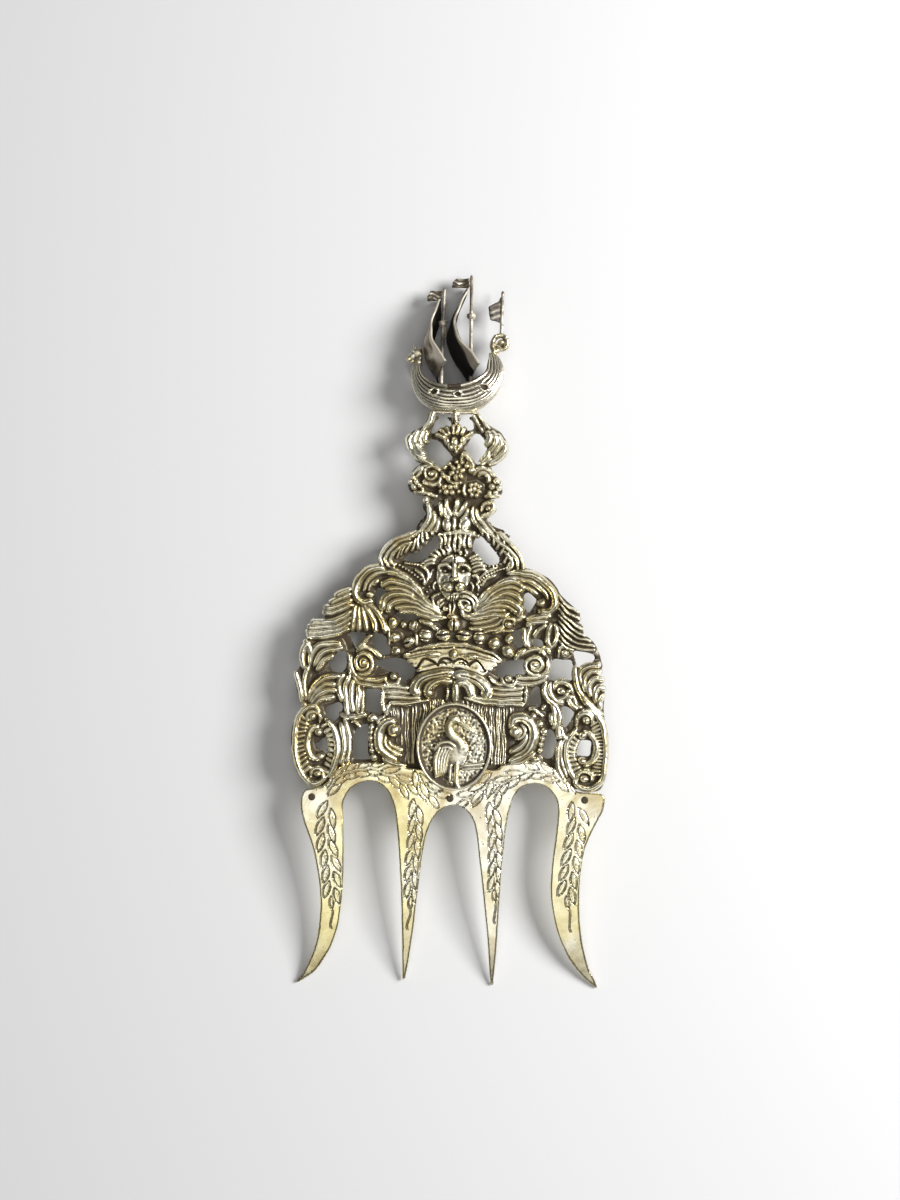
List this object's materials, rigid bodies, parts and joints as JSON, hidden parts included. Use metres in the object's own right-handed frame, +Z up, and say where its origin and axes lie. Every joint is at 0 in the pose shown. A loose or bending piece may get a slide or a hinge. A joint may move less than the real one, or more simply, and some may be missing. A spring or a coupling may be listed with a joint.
{
  "type": "oyster fork",
  "caption": "Serving fork for oysters with curved tines riveted to a pierced cast cartouche of scrolls, crown, mask and oval medallion, and a small sailing ship as finial.",
  "frame": {"origin": "centre of the footprint, on the surface that the fork lies on", "axes": "+Y along the handle from the tips to the ship, +Z up through the ornament, +X to the right seen from the front"},
  "size_m": [0.0886, 0.2019, 0.0167],
  "materials": {
    "gilt_sheet": "pale silver-gilt sheet, polished, with engraved leaves and spots of tarnish",
    "gilt_relief": "cast silver-gilt, worn bright on the crests, olive-brown patina in the recesses",
    "patinated_ground": "cast silver-gilt under dark brown patina",
    "old_silver": "oxidised silver with worn edges",
    "dark_silver": "dark oxidised silver"
  },
  "bodies": {
    "root": {"tine_plate": "gilt_sheet", "rivets": "old_silver", "shield_plate": "patinated_ground", "neck_plate": "patinated_ground", "left_c_scroll": "gilt_relief", "right_c_scroll": "gilt_relief", "left_leaf_spray": "gilt_relief", "right_leaf_spray": "gilt_relief", "left_fan": "gilt_relief", "right_fan": "gilt_relief", "left_volute": "gilt_relief", "right_volute": "gilt_relief", "left_horn": "gilt_relief", "right_horn": "gilt_relief", "crown": "gilt_relief", "crown_pearls": "gilt_relief", "mantling": "gilt_relief", "drapery": "gilt_relief", "left_side_scroll": "gilt_relief", "right_side_scroll": "gilt_relief", "medallion": "gilt_relief", "stork": "gilt_relief", "lion_mask": "gilt_relief", "plume": "gilt_relief", "flower_cluster": "gilt_relief", "upper_arms": "gilt_relief", "fan_palmette": "gilt_relief", "ship_bracket": "old_silver", "ship_hull": "old_silver", "bow_head": "old_silver", "stern_head": "old_silver", "fore_mast": "dark_silver", "main_mast": "dark_silver", "ensign_staff": "dark_silver", "fore_sail": "dark_silver", "main_sail": "dark_silver", "fore_flag": "old_silver", "main_flag": "old_silver", "ensign": "dark_silver"}
  },
  "joints": []
}
